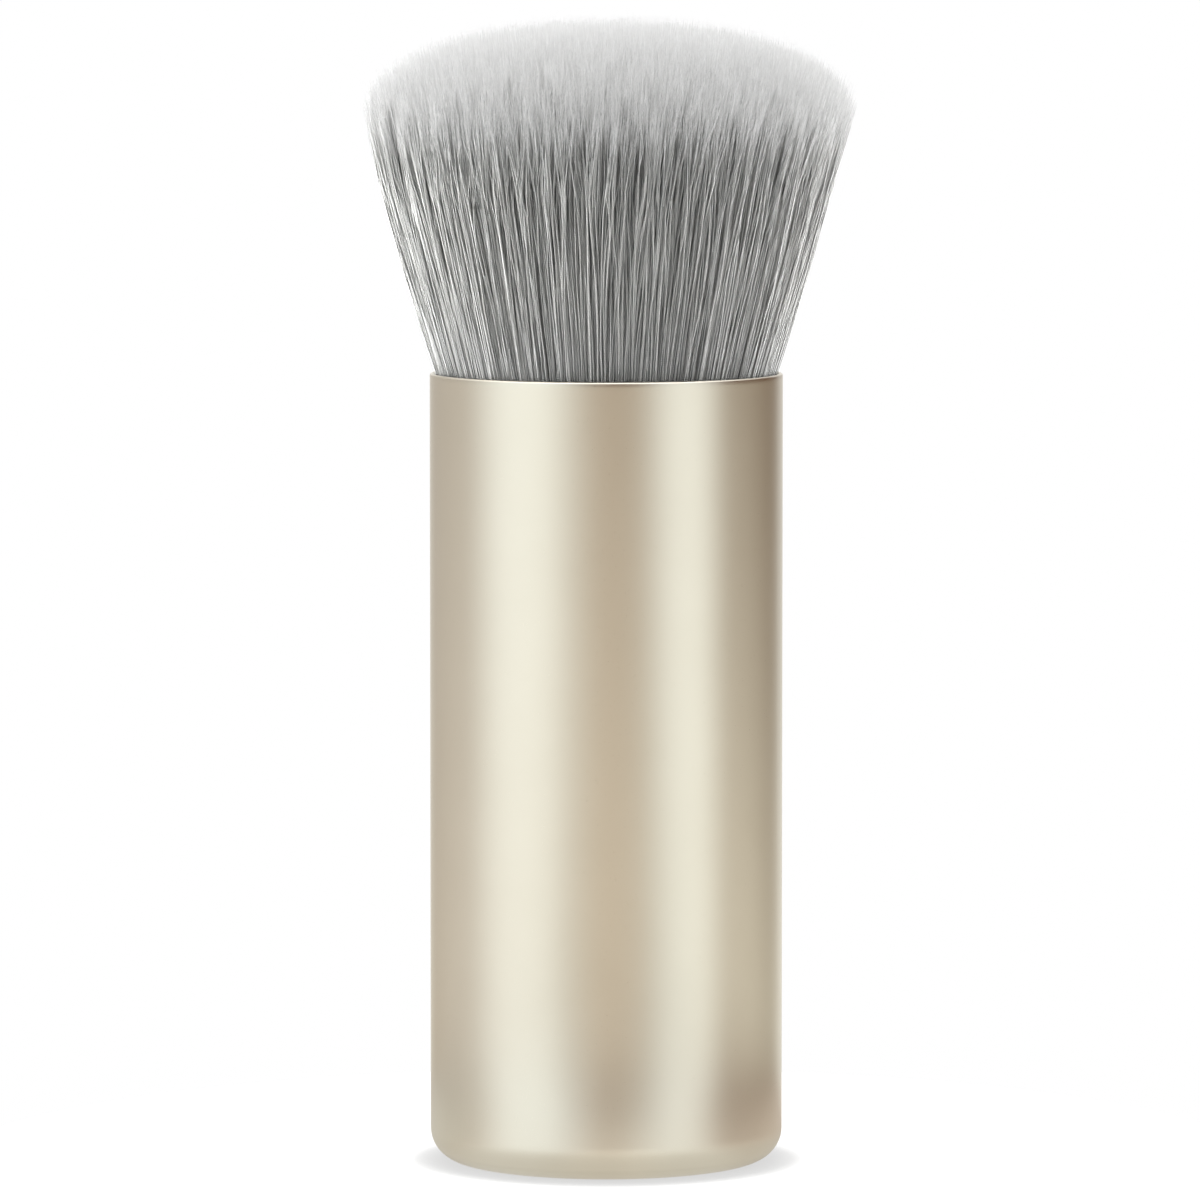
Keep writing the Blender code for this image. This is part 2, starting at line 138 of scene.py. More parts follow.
# Floor
FLOOR_RADIUS = 62 * MM
FLOOR_SEGMENTS = 96
FLOOR_DROP = 0.02 * MM  # below the base, so that the two don't share a surface
PALE_FLOOR = (0.24, 0.24, 0.24, 1)
# Painted contact shadow: the floor's darker colour where the brush closes it in
FLOOR_IN_PAINTED_SHADOW = (0.06, 0.06, 0.06, 1)
FLOOR_LIFT = 0.74  # light that only the camera sees, so that the floor meets the white backdrop
CONTACT_LIFT = 0.64  # the same, lower right beside the brush, which paints the contact shadow into that light
CONTACT_REACH = 3.0 * MM  # how near a thing has to be to close the floor in
CONTACT_CLOSED = 0.86  # how open the floor is where the contact shadow is darkest
CONTACT_OPEN = 0.985  # how open it is where that shadow ends

# The studio's lights: direction round the brush in degrees, 0 being the camera's and 90 the picture's
# right, then the half width that is fully lit, the soft edge beyond it, and the colour
HIGH_LIGHTS = {
    "left_softbox": (-54, 10, 46, (0.97, 1.11, 1.17)),
    "right_softbox": (52, 5, 32, (0.88, 0.99, 1.04)),
    "back_wall": (172, 10, 26, (0.60, 0.65, 0.67)),
    "left_wall": (-136, 20, 50, (0.40, 0.43, 0.43)),
}
LOW_LIGHTS = {
    "left_table": (-84, 22, 60, (0.38, 0.44, 0.54)),
    "right_table": (133, 26, 56, (0.85, 0.97, 0.97)),
    "right_front_low": (50, 8, 40, (0.28, 0.40, 0.48)),
    "right_low": (88, 14, 34, (0.36, 0.36, 0.36)),
    "front_low": (5, 6, 30, (0.95, 0.95, 0.92)),
}
HIGH_FILL = (0.10, 0.04, 0.01)
LOW_FILL = (0.74, 0.62, 0.44)
TABLE_LEVEL = -9.5  # where the low lights take over from the high ones, in degrees of elevation
TABLE_EDGE = 6.5  # the half width of the change from one to the other

# What the polish mirrors in the floor: painted light, which the floor gives off for reflected rays only
FLOOR_FILL = (0.63, 0.555, 0.485)
FLOOR_LIGHTS = {
    "left_pool": (-38, 5, 40, (0.39, 0.50, 0.57)),
    "front_pool": (3, 4, 24, (0.22, 0.22, 0.20)),
    "right_pool": (32, 4, 32, (0.35, 0.44, 0.48)),
    "left_side": (-112, 16, 42, (0.0, 0.06, 0.08)),
    "back_side": (170, 10, 30, (0.5, 0.54, 0.54)),
}
# Painted reflection with painted shade: the floor's glow dims to this colour right beside the brush
FLOOR_AT_BRUSH = (0.58, 0.56, 0.51, 1)
NEAR_BRUSH = 14.5 * MM  # from the axis: up to here the floor has most of that colour
PAST_BRUSH = 33 * MM  # and from here on only its own lights
LIGHTS_NEAR_BRUSH = 0.2  # those lights' share up to there

# What lights matt surfaces, which the handle's polish doesn't mirror
SOFT_LIGHTS = {
    "left_scrim": (-96, 20, 44, (6.3, 6.3, 6.3)),
    "front_left_scrim": (-40, 20, 60, (0.17, 0.17, 0.17)),
    "right_scrim": (108, 18, 42, (5.9, 5.9, 5.9)),
    "back_scrim": (180, 30, 60, (0.4, 0.4, 0.4)),
}
SOFT_FILL = (0.09, 0.09, 0.09)
BACKDROP = (1, 1, 1, 1)  # what the camera sees past the brush and the floor

# The ceiling over polish and over matt surfaces: how far it slopes towards the camera and to the left,
# and the heights in the sky where it starts and is full
POLISH_CEILING = {"brightness": 2.2, "forward": 0.0, "leftward": 0.0, "start": 0.35, "full": 0.85}
SOFT_CEILING = {"brightness": 1.58, "forward": 0.26, "leftward": -0.09, "start": 0.1, "full": 0.6}

# Each mesh of strands: the CAD bundle it stands for, its first and last share of them all from the
# middle out, and how many rings a strand has below its tip
TUFTS = [
    ("inner_tufts", "inner_bristles", 0.0, 0.22, 2),
    ("middle_tufts_1", "middle_bristles", 0.22, 0.44, 2),
    ("middle_tufts_2", "middle_bristles", 0.44, 0.65, 2),
    ("outer_tufts_1", "outer_bristles", 0.65, 0.80, 3),
    ("outer_tufts_2", "outer_bristles", 0.80, 0.88, 5),
    ("outer_tufts_3", "outer_bristles", 0.88, 0.92, 8),
    ("outer_tufts_4", "outer_bristles", 0.92, 0.96, 11),
    ("outer_tufts_5", "outer_bristles", 0.96, 1.0, 11),
]

shell_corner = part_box("handle_shell")[1]
handle_radius = shell_corner.x
handle_height = shell_corner.z
mouth_radius = handle_radius - WALL - MOUTH_CLEARANCE


def add_node(tree, kind, settings=None, **inputs):
    """A node with its settings, and its inputs set to values or linked to other nodes' outputs."""
    made = tree.nodes.new(kind)
    for name, value in (settings or {}).items():
        setattr(made, name, value)
    for name, value in inputs.items():
        feed(tree, made.inputs[name.replace("_", " ")], value)
    return made


def feed(tree, socket, value):
    """Links another node's output to a socket, or sets the socket to a value."""
    if isinstance(value, bpy.types.NodeSocket):
        tree.links.new(value, socket)
    else:
        socket.default_value = value


def calc(tree, operation, *values):
    """A Math node's result."""
    made = tree.nodes.new("ShaderNodeMath")
    made.operation = operation
    for socket, value in zip(made.inputs, values):
        feed(tree, socket, value)
    return made.outputs["Value"]


def vector_calc(tree, operation, *values):
    """A Vector Math node's result."""
    made = tree.nodes.new("ShaderNodeVectorMath")
    made.operation = operation
    for socket, value in zip(made.inputs, values):
        feed(tree, socket, value)
    return made.outputs["Vector"]


def blend(tree, factor, first, second, how="MIX"):
    """A colour Mix node's result."""
    made = tree.nodes.new("ShaderNodeMix")
    made.data_type = "RGBA"
    made.blend_type = how
    colours = [socket for socket in made.inputs if socket.type == "RGBA"]
    feed(tree, made.inputs[0], factor)
    feed(tree, colours[0], first)
    feed(tree, colours[1], second)
    return [socket for socket in made.outputs if socket.type == "RGBA"][0]


def ramp(tree, place, stops):
    """A colour ramp's result. Stops are (place, colour)."""
    made = tree.nodes.new("ShaderNodeValToRGB")
    elements = made.color_ramp.elements
    while len(elements) < len(stops):
        elements.new(0.5)
    for element, (at, colour) in zip(elements, stops):
        element.position = at
        element.color = (*colour, 1.0)
    feed(tree, made.inputs["Fac"], place)
    return made.outputs["Color"]


def new_material(name):
    """A material with a plain Principled BSDF: itself, its node tree and that shader."""
    made = bpy.data.materials.new(name)
    made.use_nodes = True
    return made, made.node_tree, made.node_tree.nodes["Principled BSDF"]


def new_group(name, inputs, outputs):
    """A shader node group with named sockets: itself, what it is given and what it puts out."""
    group = bpy.data.node_groups.new(name, "ShaderNodeTree")
    kinds = {"vector": "NodeSocketVector", "value": "NodeSocketFloat", "colour": "NodeSocketColor"}
    for socket, kind in inputs.items():
        group.interface.new_socket(socket, in_out="INPUT", socket_type=kinds[kind])
    for socket, kind in outputs.items():
        group.interface.new_socket(socket, in_out="OUTPUT", socket_type=kinds[kind])
    given = group.nodes.new("NodeGroupInput").outputs
    result = group.nodes.new("NodeGroupOutput").inputs
    return group, given, result


def place_group(tree, group, **inputs):
    """A group's outputs in a material, with its own values."""
    made = tree.nodes.new("ShaderNodeGroup")
    made.node_tree = group
    for name, value in inputs.items():
        feed(tree, made.inputs[name.replace("_", " ")], value)
    return made.outputs


def grain_effect():
    """A fine grain: its height, and a roughness that follows it between two values."""
    group, given, result = new_group(
        "fine_grain",
        {"Place": "vector", "Scale": "value", "Smoothest": "value", "Roughest": "value"},
        {"Height": "value", "Roughness": "value"},
    )
    noise = add_node(
        group,
        "ShaderNodeTexNoise",
        Vector=given["Place"],
        Scale=given["Scale"],
        Detail=3.0,
        Roughness=0.6,
    )
    height = noise.outputs["Fac"]
    gloss = add_node(
        group,
        "ShaderNodeMapRange",
        Value=height,
        From_Min=0.25,
        From_Max=0.75,
        To_Min=given["Smoothest"],
        To_Max=given["Roughest"],
    )
    feed(group, result["Height"], height)
    feed(group, result["Roughness"], gloss.outputs["Result"])
    return group


def tone_effect():
    """A slow cloudy drift between two close colours."""
    group, given, result = new_group(
        "tone_drift",
        {"Place": "vector", "Scale": "value", "Darker": "colour", "Lighter": "colour"},
        {"Colour": "colour"},
    )
    noise = add_node(
        group,
        "ShaderNodeTexNoise",
        Vector=given["Place"],
        Scale=given["Scale"],
        Detail=4.0,
        Roughness=0.55,
    )
    share = add_node(
        group, "ShaderNodeMapRange", Value=noise.outputs["Fac"], From_Min=0.3, From_Max=0.7
    )
    colour = blend(group, share.outputs["Result"], given["Darker"], given["Lighter"])
    feed(group, result["Colour"], colour)
    return group


def wear_effect():
    """Where edges are rubbed: 1 on a tight edge, broken up by a mottle, and 0 on even faces."""
    group, given, result = new_group(
        "edge_wear",
        {"Place": "vector", "Reach": "value", "Mottle Scale": "value", "Amount": "value"},
        {"Worn": "value"},
    )
    soft = add_node(group, "ShaderNodeBevel", {"samples": 4}, Radius=given["Reach"])
    sharp = add_node(group, "ShaderNodeNewGeometry")
    match = add_node(group, "ShaderNodeVectorMath", {"operation": "DOT_PRODUCT"})
    feed(group, match.inputs[0], soft.outputs["Normal"])
    feed(group, match.inputs[1], sharp.outputs["Normal"])
    edge = add_node(
        group,
        "ShaderNodeMapRange",
        Value=match.outputs["Value"],
        From_Min=EVEN_FACE,
        From_Max=TIGHT_EDGE,
    )
    noise = add_node(
        group, "ShaderNodeTexNoise", Vector=given["Place"], Scale=given["Mottle Scale"], Detail=3.0
    )
    mottle = add_node(
        group, "ShaderNodeMapRange", Value=noise.outputs["Fac"], From_Min=0.35, From_Max=0.6
    )
    worn = calc(group, "MULTIPLY", edge.outputs["Result"], mottle.outputs["Result"])
    feed(group, result["Worn"], calc(group, "MULTIPLY", worn, given["Amount"]))
    return group


def turned(name, outline, steps):
    """An outline of (radius, height) points, which comes down on its outer side, turned about Z."""
    mesh = bpy.data.meshes.new(name)
    edges = [(i, i + 1) for i in range(len(outline) - 1)]
    mesh.from_pydata([(r, 0.0, z) for r, z in outline], edges, [])
    made = bpy.data.objects.new(name, mesh)
    bpy.context.scene.collection.objects.link(made)
    screw = made.modifiers.new("turn", "SCREW")
    screw.steps = steps
    screw.render_steps = steps
    screw.use_merge_vertices = True
    screw.merge_threshold = ONE_POINT
    screw.use_smooth_shade = True
    bpy.context.view_layer.update()
    shaped = bpy.data.meshes.new_from_object(made.evaluated_get(bpy.context.evaluated_depsgraph_get()))
    made.modifiers.clear()
    made.data = shaped
    shaped.name = name
    return made


def arc(centre, radius, start, end, points):
    """Points on an arc in the (radius, height) plane, from one angle to another in degrees."""
    angles = np.radians(np.linspace(start, end, points))
    return [(centre[0] + radius * math.cos(a), centre[1] + radius * math.sin(a)) for a in angles]


def start_finish(name):
    """A new material, its shader and the place on the object that its textures read."""
    made, tree, shader = new_material(name)
    return made, tree, shader, add_node(tree, "ShaderNodeTexCoord").outputs["Object"]


def add_bump(tree, shader, height, strength, depth):
    """A relief in the surface's shading, as deep as depth where height runs from 0 to 1."""
    bump = add_node(tree, "ShaderNodeBump", Height=height, Strength=strength, Distance=depth)
    feed(tree, shader.inputs["Normal"], bump.outputs["Normal"])


def champagne_metal():
    """Satin anodised aluminium: a fine blasted grain under an even sheen, rubbed bright at the lip, partly
    wear and partly a painted highlight.
    """
    made, tree, shader, place = start_finish("satin_champagne")
    grain = place_group(tree, fine_grain, Place=place, Scale=9000.0, Smoothest=0.27, Roughest=0.33)
    tint = place_group(
        tree,
        tone_drift,
        Place=place,
        Scale=120.0,
        Darker=(0.82, 0.765, 0.65, 1),
        Lighter=(0.84, 0.785, 0.67, 1),
    )
    worn = place_group(tree, edge_wear, Place=place, Reach=0.3 * MM, Mottle_Scale=700.0, Amount=0.7)
    # The rubbed lip is partly wear and partly a painted highlight along the lip
    rubbed = (0.95, 0.92, 0.86, 1)
    feed(tree, shader.inputs["Base Color"], blend(tree, worn["Worn"], tint["Colour"], rubbed))
    feed(tree, shader.inputs["Roughness"], grain["Roughness"])
    add_bump(tree, shader, grain["Height"], strength=0.12, depth=0.02 * MM)
    shader.inputs["Metallic"].default_value = 1.0
    return made


def moulded_core():
    """Off-white moulded plastic with a spark-eroded grain, a little paler where edges are rubbed."""
    made, tree, shader, place = start_finish("moulded_core")
    grain = place_group(tree, fine_grain, Place=place, Scale=3500.0, Smoothest=0.48, Roughest=0.64)
    tint = place_group(
        tree,
        tone_drift,
        Place=place,
        Scale=90.0,
        Darker=(0.77, 0.76, 0.725, 1),
        Lighter=(0.82, 0.81, 0.78, 1),
    )
    worn = place_group(tree, edge_wear, Place=place, Reach=0.25 * MM, Mottle_Scale=500.0, Amount=0.5)
    rubbed = (0.9, 0.9, 0.88, 1)
    feed(tree, shader.inputs["Base Color"], blend(tree, worn["Worn"], tint["Colour"], rubbed))
    feed(tree, shader.inputs["Roughness"], grain["Roughness"])
    add_bump(tree, shader, grain["Height"], strength=0.25, depth=0.03 * MM)
    return made


def pad_foam():
    """Black closed-cell foam: small round cells, with painted shade in their pits."""
    made, tree, shader, place = start_finish("black_foam")
    cells = add_node(tree, "ShaderNodeTexVoronoi", Vector=place, Scale=2200.0)
    pit = add_node(
        tree, "ShaderNodeMapRange", Value=cells.outputs["Distance"], From_Min=0.1, From_Max=0.6
    )
    tint = place_group(
        tree,
        tone_drift,
        Place=place,
        Scale=200.0,
        Darker=(0.085, 0.085, 0.095, 1),
        Lighter=(0.13, 0.13, 0.14, 1),
    )
    # Painted shade: the cells are darker in their pits and a little lighter on their walls
    painted_pit_shade = (0.5, 0.5, 0.5, 1)
    on_wall = (1.15, 1.15, 1.15, 1)
    shade = blend(tree, pit.outputs["Result"], painted_pit_shade, on_wall)
    feed(tree, shader.inputs["Base Color"], blend(tree, 1.0, tint["Colour"], shade, "MULTIPLY"))
    grain = place_group(tree, fine_grain, Place=place, Scale=6000.0, Smoothest=0.82, Roughest=0.96)
    feed(tree, shader.inputs["Roughness"], grain["Roughness"])
    add_bump(tree, shader, pit.outputs["Result"], strength=0.7, depth=0.15 * MM)
    return made


def turning_lines(tree, place, pitch):
    """A lathe tool's fine rings, on faces and sides alike: 0 to 1 across each."""
    parts = add_node(tree, "ShaderNodeSeparateXYZ", Vector=place)
    flat = vector_calc(tree, "MULTIPLY", place, (1, 1, 0))
    radius = add_node(tree, "ShaderNodeVectorMath", {"operation": "LENGTH"})
    feed(tree, radius.inputs[0], flat)
    travel = calc(tree, "ADD", parts.outputs["Z"], radius.outputs["Value"])
    wave = calc(tree, "SINE", calc(tree, "MULTIPLY", travel, math.tau / pitch))
    return calc(tree, "MULTIPLY_ADD", wave, 0.5, 0.5)


def turned_steel():
    """Plain turned steel: fine tool rings, a dull oiled drift and bright edges."""
    made, tree, shader, place = start_finish("turned_steel")
    rings = turning_lines(tree, place, pitch=0.18 * MM)
    grain = place_group(tree, fine_grain, Place=place, Scale=2500.0, Smoothest=0.28, Roughest=0.42)
    tint = place_group(
        tree,
        tone_drift,
        Place=place,
        Scale=110.0,
        Darker=(0.46, 0.465, 0.48, 1),
        Lighter=(0.56, 0.57, 0.59, 1),
    )
    worn = place_group(tree, edge_wear, Place=place, Reach=0.3 * MM, Mottle_Scale=600.0, Amount=0.8)
    rubbed = (0.75, 0.76, 0.78, 1)
    feed(tree, shader.inputs["Base Color"], blend(tree, worn["Worn"], tint["Colour"], rubbed))
    feed(tree, shader.inputs["Roughness"], grain["Roughness"])
    grain_in_rings = 0.4
    height = calc(tree, "MULTIPLY_ADD", grain["Height"], grain_in_rings, rings)
    add_bump(tree, shader, height, strength=0.35, depth=0.02 * MM)
    shader.inputs["Metallic"].default_value = 1.0
    return made


def set_glue():
    """Amber glue that has set glossy, with small bubbles under its skin."""
    made, tree, shader, place = start_finish("set_glue")
    tint = place_group(
        tree,
        tone_drift,
        Place=place,
        Scale=250.0,
        Darker=(0.78, 0.70, 0.48, 1),
        Lighter=(0.88, 0.83, 0.66, 1),
    )
    spots = add_node(tree, "ShaderNodeTexVoronoi", Vector=place, Scale=1100.0)
    bubble = add_node(
        tree, "ShaderNodeMapRange", Value=spots.outputs["Distance"], From_Min=0.12, From_Max=0.2
    )
    pale = (0.95, 0.93, 0.86, 1)
    feed(tree, shader.inputs["Base Color"], blend(tree, bubble.outputs["Result"], pale, tint["Colour"]))
    grain = place_group(tree, fine_grain, Place=place, Scale=700.0, Smoothest=0.10, Roughest=0.26)
    feed(tree, shader.inputs["Roughness"], grain["Roughness"])
    add_bump(tree, shader, bubble.outputs["Result"], strength=0.3, depth=0.05 * MM)
    return made


def drawn_aluminium():
    """Plain drawn aluminium: fine lines along the draw, and a rubbed rim."""
    made, tree, shader, place = start_finish("drawn_aluminium")
    along_draw = (1, 1, 0.05)
    stretched = vector_calc(tree, "MULTIPLY", place, along_draw)
    grain = place_group(tree, fine_grain, Place=stretched, Scale=3000.0, Smoothest=0.26, Roughest=0.42)
    tint = place_group(
        tree,
        tone_drift,
        Place=place,
        Scale=100.0,
        Darker=(0.73, 0.73, 0.745, 1),
        Lighter=(0.81, 0.81, 0.82, 1),
    )
    worn = place_group(tree, edge_wear, Place=place, Reach=0.25 * MM, Mottle_Scale=600.0, Amount=0.7)
    rubbed = (0.9, 0.9, 0.91, 1)
    feed(tree, shader.inputs["Base Color"], blend(tree, worn["Worn"], tint["Colour"], rubbed))
    feed(tree, shader.inputs["Roughness"], grain["Roughness"])
    add_bump(tree, shader, grain["Height"], strength=0.25, depth=0.02 * MM)
    shader.inputs["Metallic"].default_value = 1.0
    return made


def cast_roots():
    """Dark cast resin, with the pale cut ends of the filament packed through it."""
    made, tree, shader, place = start_finish("cast_roots")
    ends = add_node(tree, "ShaderNodeTexVoronoi", Vector=place, Scale=6500.0, Randomness=0.7)
    end = add_node(
        tree, "ShaderNodeMapRange", Value=ends.outputs["Distance"], From_Min=0.42, From_Max=0.3
    )
    tint = place_group(
        tree,
        tone_drift,
        Place=place,
        Scale=160.0,
        Darker=(0.26, 0.27, 0.27, 1),
        Lighter=(0.34, 0.35, 0.35, 1),
    )
    pale = (0.55, 0.56, 0.55, 1)
    feed(tree, shader.inputs["Base Color"], blend(tree, end.outputs["Result"], tint["Colour"], pale))
    grain = place_group(tree, fine_grain, Place=place, Scale=1800.0, Smoothest=0.22, Roughest=0.38)
    feed(tree, shader.inputs["Roughness"], grain["Roughness"])
    add_bump(tree, shader, end.outputs["Result"], strength=0.3, depth=0.03 * MM)
    return made


def wound_cord():
    """Off-white nylon cord, wound in close turns with its fibres twisted across them."""
    made, tree, shader, place = start_finish("wound_cord")
    parts = add_node(tree, "ShaderNodeSeparateXYZ", Vector=place)
    turn = calc(tree, "ARCTAN2", parts.outputs["Y"], parts.outputs["X"])
    climb = calc(tree, "DIVIDE", parts.outputs["Z"], CORD_PITCH)
    wraps = calc(tree, "MULTIPLY_ADD", turn, 1 / math.tau, climb)
    wrap = calc(tree, "PINGPONG", wraps, 0.5)
    round_wrap = calc(tree, "SQRT", calc(tree, "MULTIPLY", wrap, 2.0))
    twist = calc(tree, "MULTIPLY_ADD", turn, CORD_FIBRES, calc(tree, "MULTIPLY", climb, math.tau))
    fibre = calc(tree, "MULTIPLY_ADD", calc(tree, "SINE", twist), FIBRE_RELIEF, round_wrap)
    tint = place_group(
        tree,
        tone_drift,
        Place=place,
        Scale=300.0,
        Darker=(0.80, 0.78, 0.71, 1),
        Lighter=(0.88, 0.86, 0.80, 1),
    )
    # Painted shade: the cord darkens into the grooves between its turns and fibres
    painted_groove_shade = [(0.0, (0.45, 0.43, 0.39)), (0.5, (1.0, 1.0, 1.0))]
    shade = ramp(tree, fibre, painted_groove_shade)
    feed(tree, shader.inputs["Base Color"], blend(tree, 1.0, tint["Colour"], shade, "MULTIPLY"))
    grain = place_group(tree, fine_grain, Place=place, Scale=5000.0, Smoothest=0.5, Roughest=0.68)
    feed(tree, shader.inputs["Roughness"], grain["Roughness"])
    add_bump(tree, shader, fibre, strength=0.6, depth=0.12 * MM)
    return made


def finish_inner_pieces():
    """Gives the pieces inside the handle their finishes. Their shapes are the solids' own."""
    glue = set_glue()
    finishes = {
        "core_body": moulded_core(),
        "base_pad": pad_foam(),
        "counterweight": turned_steel(),
        "lower_glue_bead": glue,
        "upper_glue_bead": glue,
        "cup_glue_bead": glue,
        "ferrule_cup": drawn_aluminium(),
        "root_block": cast_roots(),
        "binding_ring": wound_cord(),
    }
    for name, finish in finishes.items():
        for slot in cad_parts[name].material_slots:
            slot.material = finish


def filament():
    """Tapered filament, read along its colour map: cool grey, darkened towards the roots by painted shade,
    and near-white at the tips, which painted shade dims at their very ends.
    """
    made, tree, shader = new_material("tapered_filament")
    place = add_node(tree, "ShaderNodeUVMap", {"uv_map": "OFBake"}).outputs["UV"]
    parts = add_node(tree, "ShaderNodeSeparateXYZ", Vector=place)
    column = calc(tree, "FLOOR", calc(tree, "MULTIPLY", parts.outputs["X"], COLOUR_COLUMNS))
    own = calc(tree, "FRACT", calc(tree, "MULTIPLY", column, COLUMN_STEP))
    along = calc(tree, "MULTIPLY_ADD", own, TIP_VARIES, parts.outputs["Y"])
    # The first stops darken the strands towards their roots: painted shade above the rim. The last stop dims
    # the very tips: painted shade on the head's top.
    root_to_tip = [
        (0.345, (0.25, 0.255, 0.25)),
        (0.405, (0.37, 0.37, 0.365)),
        (0.55, (0.42, 0.42, 0.41)),
        (0.922, (0.43, 0.43, 0.42)),
        (0.952, (0.72, 0.72, 0.71)),
        (0.985, (0.91, 0.91, 0.90)),
        (1.0, (0.64, 0.64, 0.63)),
    ]
    column_tones = [(0.0, (0.66, 0.67, 0.67)), (0.4, (0.95, 0.95, 0.94)), (1.0, (1.0, 1.0, 1.0))]
    tones_fade = [(0.90, (1.0, 1.0, 1.0)), (0.98, (0.5, 0.5, 0.5))]
    dye_and_painted_shade = ramp(tree, along, root_to_tip)
    tone = ramp(tree, parts.outputs["X"], column_tones)
    toned = ramp(tree, along, tones_fade)
    feed(tree, shader.inputs["Base Color"], blend(tree, toned, dye_and_painted_shade, tone, "MULTIPLY"))
    shader.inputs["Roughness"].default_value = 0.6
    shader.inputs["Specular IOR Level"].default_value = 0.15
    shader.inputs["Subsurface Weight"].default_value = 0.65
    shader.inputs["Subsurface Radius"].default_value = (1, 1, 1)
    shader.inputs["Subsurface Scale"].default_value = 0.08 * MM
    return made


def add_handle():
    """The drawn shell: its outline from the floor inside, up the bore, over the lip and down to the base."""
    bore = handle_radius - WALL
    corner = (handle_radius - BASE_CORNER_RADIUS, BASE_CORNER_RADIUS)
    inner_corner_radius = BASE_CORNER_RADIUS - WALL
    inner_corner = (bore - inner_corner_radius, FLOOR_THICKNESS + inner_corner_radius)
    lip_height = handle_height - LIP_RADIUS
    outline = [(0.0, FLOOR_THICKNESS), (inner_corner[0] - HOLD, FLOOR_THICKNESS)]
    outline += arc(inner_corner, inner_corner_radius, -90, 0, CORNER_POINTS)
    outline += [(bore, inner_corner[1] + HOLD), (bore, lip_height - HOLD)]
    outline += arc((bore + LIP_RADIUS, lip_height), LIP_RADIUS, 180, 90, LIP_POINTS)
    outline += arc((handle_radius - LIP_RADIUS, lip_height), LIP_RADIUS, 90, 0, LIP_POINTS)
    outline += [(handle_radius, lip_height - HOLD), (handle_radius, corner[1] + HOLD)]
    outline += arc(corner, BASE_CORNER_RADIUS, 0, -90, CORNER_POINTS)
    outline += [(corner[0] - HOLD, 0.0), (0.0, 0.0)]
    skin = turned("satin_handle", outline, HANDLE_STEPS)
    skin.data.materials.append(champagne_metal())
    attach(skin, "root")
    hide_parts("handle_shell")


def head_radius(height):
    """The head's side: a straight flare that rounds off towards its rim."""
    rise = height - handle_height
    whole = RIM_HEIGHT - handle_height
    rounding = mouth_radius + FLARE * whole - HEAD_RADIUS
    return mouth_radius + FLARE * rise - rounding * (np.maximum(rise, 0) / whole) ** SIDE_ROUNDING


def dome_height(share):
    """The height of a strand's tip, for its share of the head's radius."""
    return RIM_HEIGHT + DOME_RISE * np.maximum(1 - share**DOME_FULLNESS, 0) ** SHOULDER_FULLNESS


def lock_drift(rng, spots, width, depth, length, size):
    """How far strands wander in locks at spots (angle, radius at the mouth, height).

    The waves go round the head a whole number of times, so the drift has no seam, and size is the
    drift's usual distance.
    """
    total = np.zeros(spots.shape[:-1])
    for _ in range(WAVES_A_LOCK):
        stretch = rng.uniform(*WAVE_SPREAD, 3)
        round_head = round(math.tau * mouth_radius / (width * stretch[0])) * rng.choice((-1, 1))
        inward = math.tau / (depth * stretch[1])
        climb = math.tau / (length * stretch[2]) * rng.choice((-1, 1))
        total += np.sin(spots @ np.array((round_head, inward, climb)) + rng.uniform(0, math.tau))
    return size * math.sqrt(2 / WAVES_A_LOCK) * total


def smooth_step(low, high, value):
    """0 up to low and 1 from high on, with a smooth rise between them."""
    part = np.clip((value - low) / (high - low), 0, 1)
    return part * part * (3 - 2 * part)


